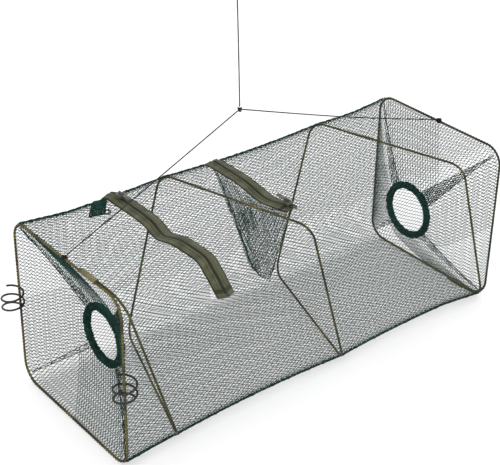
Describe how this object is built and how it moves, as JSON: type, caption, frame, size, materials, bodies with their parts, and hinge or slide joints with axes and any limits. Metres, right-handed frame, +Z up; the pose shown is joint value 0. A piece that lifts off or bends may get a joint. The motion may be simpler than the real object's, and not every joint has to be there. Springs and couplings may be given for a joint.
{
  "type": "folding crab trap",
  "caption": "Collapsible net trap on a square coil of spring wire, with a funnel entrance at each end, zips, a bait pocket and a cord bridle.",
  "frame": {"origin": "on the ground under the middle of the trap, hooks included and cords left out", "axes": "+X along the trap from the hook end, +Y to the back, +Z up"},
  "size_m": [0.6421, 0.2844, 0.5584],
  "materials": {
    "spring_wire": "dark olive oxide with rusty patches",
    "crimp_metal": "dull olive, crimped",
    "black_wire": "black plastic coat",
    "wound_net": "netting wound tight",
    "ring_plastic": "matt",
    "seam_cord": "twisted cord",
    "netting": "knotted dark green twine",
    "zip_tape": "woven olive tape",
    "zip_teeth": "moulded coil",
    "zip_metal": "dark enamel",
    "knot_cord": "tight black knot",
    "line_cord": "twisted cord"
  },
  "bodies": {
    "left_end": {"left_frame": "spring_wire", "start_ferrule": "crimp_metal", "coil_start": "spring_wire", "net_top": "netting", "net_front": "netting", "net_bottom": "netting", "net_back": "netting", "net_seams": "seam_cord", "left_funnel": "netting", "left_funnel_seams": "seam_cord", "catch_zip_tapes": "zip_tape", "catch_zip_teeth": "zip_teeth", "bait_zip_tapes": "zip_tape", "bait_zip_teeth": "zip_teeth", "bait_pocket": "netting", "net_tab": "netting", "left_frame_knot": "knot_cord", "left_bridle_leg": "line_cord"},
    "right_end": {"right_frame": "spring_wire", "end_ferrule": "crimp_metal", "coil_end": "spring_wire", "right_funnel": "netting", "right_funnel_seams": "seam_cord"},
    "coil_corner_1": {"coil_corner_1": "spring_wire"},
    "coil_corner_2": {"coil_corner_2": "spring_wire"},
    "coil_corner_3": {"coil_corner_3": "spring_wire"},
    "coil_corner_4": {"coil_corner_4": "spring_wire"},
    "coil_corner_5": {"coil_corner_5": "spring_wire"},
    "coil_corner_6": {"coil_corner_6": "spring_wire"},
    "coil_corner_7": {"coil_corner_7": "spring_wire"},
    "coil_corner_8": {"coil_corner_8": "spring_wire"},
    "coil_side_1": {"coil_side_1": "spring_wire"},
    "coil_side_2": {"coil_side_2": "spring_wire"},
    "coil_side_3": {"coil_side_3": "spring_wire"},
    "coil_side_4": {"coil_side_4": "spring_wire"},
    "coil_side_5": {"coil_side_5": "spring_wire"},
    "coil_side_6": {"coil_side_6": "spring_wire"},
    "coil_side_7": {"coil_side_7": "spring_wire"},
    "coil_side_8": {"coil_side_8": "spring_wire"},
    "coil_side_9": {"coil_side_9": "spring_wire"},
    "left_entrance": {"left_ring": "ring_plastic", "left_ring_wrap": "wound_net"},
    "right_entrance": {"right_ring": "ring_plastic", "right_ring_wrap": "wound_net"},
    "catch_zip": {"catch_zip_stop": "zip_teeth"},
    "catch_zip_slider": {"catch_zip_slider": "zip_metal"},
    "catch_zip_pull": {"catch_zip_pull": "zip_metal"},
    "bait_zip": {"bait_zip_stop": "zip_teeth"},
    "bait_zip_slider": {"bait_zip_slider": "zip_metal"},
    "bait_zip_pull": {"bait_zip_pull": "zip_metal"},
    "tab_tie": {"tab_ring_tie": "seam_cord"},
    "tab_ring": {"tab_ring": "black_wire"},
    "front_hook": {"front_hook": "black_wire"},
    "back_hook": {"back_hook": "black_wire"},
    "bridle": {"bridle_knot": "knot_cord", "right_bridle_leg": "line_cord", "lift_line": "line_cord", "line_loop_knot": "knot_cord", "line_loop": "line_cord"},
    "right_tie": {"right_frame_knot": "knot_cord"}
  },
  "joints": [
    {"name": "fold", "type": "slide", "parent": "left_end", "child": "right_end", "axis": [-1, 0, 0], "range_m": [0, 0.565], "stiffness_N_per_m": 20, "springref_m": -0.1, "deforming": ["net_top", "net_front", "net_bottom", "net_back", "net_seams", "catch_zip_tapes", "catch_zip_teeth", "bait_zip_tapes", "bait_zip_teeth", "bait_pocket", "net_tab"]},
    {"name": "coil_corner_1_shift", "type": "slide", "parent": "left_end", "child": "coil_corner_1", "axis": [-0.9959, -0.0643, -0.0643], "range_m": [0, 0.06065]},
    {"name": "coil_corner_2_shift", "type": "slide", "parent": "left_end", "child": "coil_corner_2", "axis": [-0.9992, 0.0289, -0.0289], "range_m": [0, 0.13488]},
    {"name": "coil_corner_3_shift", "type": "slide", "parent": "left_end", "child": "coil_corner_3", "axis": [-0.9996, 0.0204, 0.0204], "range_m": [0, 0.19092]},
    {"name": "coil_corner_4_shift", "type": "slide", "parent": "left_end", "child": "coil_corner_4", "axis": [-0.9998, -0.0154, 0.0154], "range_m": [0, 0.25368]},
    {"name": "coil_corner_5_shift", "type": "slide", "parent": "left_end", "child": "coil_corner_5", "axis": [-0.9998, -0.0123, -0.0123], "range_m": [0, 0.31767]},
    {"name": "coil_corner_6_shift", "type": "slide", "parent": "left_end", "child": "coil_corner_6", "axis": [-0.9999, 0.0101, -0.0101], "range_m": [0, 0.38471]},
    {"name": "coil_corner_7_shift", "type": "slide", "parent": "left_end", "child": "coil_corner_7", "axis": [-0.9999, 0.0088, 0.0088], "range_m": [0, 0.44199]},
    {"name": "coil_corner_8_shift", "type": "slide", "parent": "left_end", "child": "coil_corner_8", "axis": [-0.9999, -0.0077, 0.0077], "range_m": [0, 0.50782]},
    {"name": "coil_side_1_tilt", "type": "hinge", "parent": "left_end", "child": "coil_side_1", "pos_m": [-0.28739, -0.11725, 0.21255], "axis": [-0.0643, 0.9979, -0.0032], "range_deg": [0, 17.89]},
    {"name": "coil_side_2_tilt", "type": "hinge", "parent": "coil_corner_1", "child": "coil_side_2", "pos_m": [-0.21415, -0.09506, 0.0064], "axis": [0, 0, 1], "range_deg": [0, 21.68]},
    {"name": "coil_side_3_tilt", "type": "hinge", "parent": "coil_corner_2", "child": "coil_side_3", "pos_m": [-0.13784, 0.1136, 0.02602], "axis": [0, -1, 0], "range_deg": [0, 16.71]},
    {"name": "coil_side_4_tilt", "type": "hinge", "parent": "coil_corner_3", "child": "coil_side_4", "pos_m": [-0.07803, 0.09391, 0.2336], "axis": [0, 0, -1], "range_deg": [0, 18.6]},
    {"name": "coil_side_5_tilt", "type": "hinge", "parent": "coil_corner_4", "child": "coil_side_5", "pos_m": [-0.01206, -0.1136, 0.21411], "axis": [0, 1, 0], "range_deg": [0, 18.92]},
    {"name": "coil_side_6_tilt", "type": "hinge", "parent": "coil_corner_5", "child": "coil_side_6", "pos_m": [0.0553, -0.09427, 0.0064], "axis": [0, 0, 1], "range_deg": [0, 19.77]},
    {"name": "coil_side_7_tilt", "type": "hinge", "parent": "coil_corner_6", "child": "coil_side_7", "pos_m": [0.12476, 0.1136, 0.0261], "axis": [0, -1, 0], "range_deg": [0, 17.06]},
    {"name": "coil_side_8_tilt", "type": "hinge", "parent": "coil_corner_7", "child": "coil_side_8", "pos_m": [0.18588, 0.09407, 0.2336], "axis": [0, 0, -1], "range_deg": [0, 19.41]},
    {"name": "coil_side_9_tilt", "type": "hinge", "parent": "coil_corner_8", "child": "coil_side_9", "pos_m": [0.2544, -0.11394, 0.21439], "axis": [0.0679, 0.9977, 0.0017], "range_deg": [0, 17.17]},
    {"name": "left_ring_shift", "type": "slide", "parent": "left_end", "child": "left_entrance", "axis": [-1, 0, 0], "range_m": [0, 0.03402], "deforming": ["left_funnel", "left_funnel_seams"]},
    {"name": "right_ring_shift", "type": "slide", "parent": "right_end", "child": "right_entrance", "axis": [1, 0, 0], "range_m": [0, 0.03402], "deforming": ["right_funnel", "right_funnel_seams"]},
    {"name": "catch_zip_shift", "type": "slide", "parent": "left_end", "child": "catch_zip", "axis": [-1, 0, 0], "range_m": [0, 0.12089]},
    {"name": "bait_zip_shift", "type": "slide", "parent": "left_end", "child": "bait_zip", "axis": [-1, 0, 0], "range_m": [0, 0.26283]},
    {"name": "catch_zip_open", "type": "slide", "parent": "catch_zip", "child": "catch_zip_slider", "axis": [0, -1, 0], "range_m": [0, 0.1641]},
    {"name": "bait_zip_open", "type": "slide", "parent": "bait_zip", "child": "bait_zip_slider", "axis": [0, 1, 0], "range_m": [0, 0.1394]},
    {"name": "catch_zip_pull_swing", "type": "hinge", "parent": "catch_zip_slider", "child": "catch_zip_pull", "pos_m": [-0.16685, 0.0794, 0.24575], "axis": [-1, 0, 0], "range_deg": [0, 170]},
    {"name": "bait_zip_pull_swing", "type": "hinge", "parent": "bait_zip_slider", "child": "bait_zip_pull", "pos_m": [-0.01185, -0.06, 0.24575], "axis": [1, 0, 0], "range_deg": [0, 170]},
    {"name": "tab_ring_shift", "type": "slide", "parent": "left_end", "child": "tab_tie", "axis": [-1, 0, 0], "range_m": [0, 0.08792]},
    {"name": "tab_ring_swing", "type": "hinge", "parent": "tab_tie", "child": "tab_ring", "pos_m": [-0.20285, 0.0621, 0.24175], "axis": [-1, 0, 0], "range_deg": [0, 110]},
    {"name": "front_hook_swing", "type": "hinge", "parent": "left_end", "child": "front_hook", "pos_m": [-0.29885, -0.1177, 0.12], "axis": [0, 0, 1], "range_deg": [-55, 0]},
    {"name": "back_hook_swing", "type": "hinge", "parent": "left_end", "child": "back_hook", "pos_m": [-0.29885, 0.1177, 0.12], "axis": [0, 0, 1], "range_deg": [0, 55]},
    {"name": "bridle_rise", "type": "slide", "parent": "left_end", "child": "bridle", "axis": [-0.8187, 0, 0.5742], "range_m": [0, 0.28748], "deforming": ["left_bridle_leg"]},
    {"name": "right_tie_follow", "type": "slide", "parent": "bridle", "child": "right_tie", "axis": [-0.8942, 0, -0.4477], "range_m": [0, 0.3687], "deforming": ["right_bridle_leg"]}
  ],
  "couplings": [
    {"joint": "coil_corner_1_shift", "follows": "fold", "ratio": 0.10731},
    {"joint": "coil_corner_2_shift", "follows": "fold", "ratio": 0.23871},
    {"joint": "coil_corner_3_shift", "follows": "fold", "ratio": 0.33788},
    {"joint": "coil_corner_4_shift", "follows": "fold", "ratio": 0.44896},
    {"joint": "coil_corner_5_shift", "follows": "fold", "ratio": 0.56222},
    {"joint": "coil_corner_6_shift", "follows": "fold", "ratio": 0.68088},
    {"joint": "coil_corner_7_shift", "follows": "fold", "ratio": 0.78226},
    {"joint": "coil_corner_8_shift", "follows": "fold", "ratio": 0.89877},
    {"joint": "coil_side_1_tilt", "follows": "fold", "rad_per_m": 0.55208},
    {"joint": "coil_side_2_tilt", "follows": "fold", "rad_per_m": 0.6692},
    {"joint": "coil_side_3_tilt", "follows": "fold", "rad_per_m": 0.51582},
    {"joint": "coil_side_4_tilt", "follows": "fold", "rad_per_m": 0.57423},
    {"joint": "coil_side_5_tilt", "follows": "fold", "rad_per_m": 0.58391},
    {"joint": "coil_side_6_tilt", "follows": "fold", "rad_per_m": 0.61013},
    {"joint": "coil_side_7_tilt", "follows": "fold", "rad_per_m": 0.52655},
    {"joint": "coil_side_8_tilt", "follows": "fold", "rad_per_m": 0.59907},
    {"joint": "coil_side_9_tilt", "follows": "fold", "rad_per_m": 0.52997},
    {"joint": "left_ring_shift", "follows": "fold", "ratio": 0.060177},
    {"joint": "right_ring_shift", "follows": "fold", "ratio": 0.060177},
    {"joint": "catch_zip_shift", "follows": "fold", "ratio": 0.21394},
    {"joint": "bait_zip_shift", "follows": "fold", "ratio": 0.46515},
    {"joint": "tab_ring_shift", "follows": "fold", "ratio": 0.15559},
    {"joint": "bridle_rise", "follows": "fold", "ratio": 0.50878},
    {"joint": "right_tie_follow", "follows": "fold", "ratio": 0.65253}
  ]
}
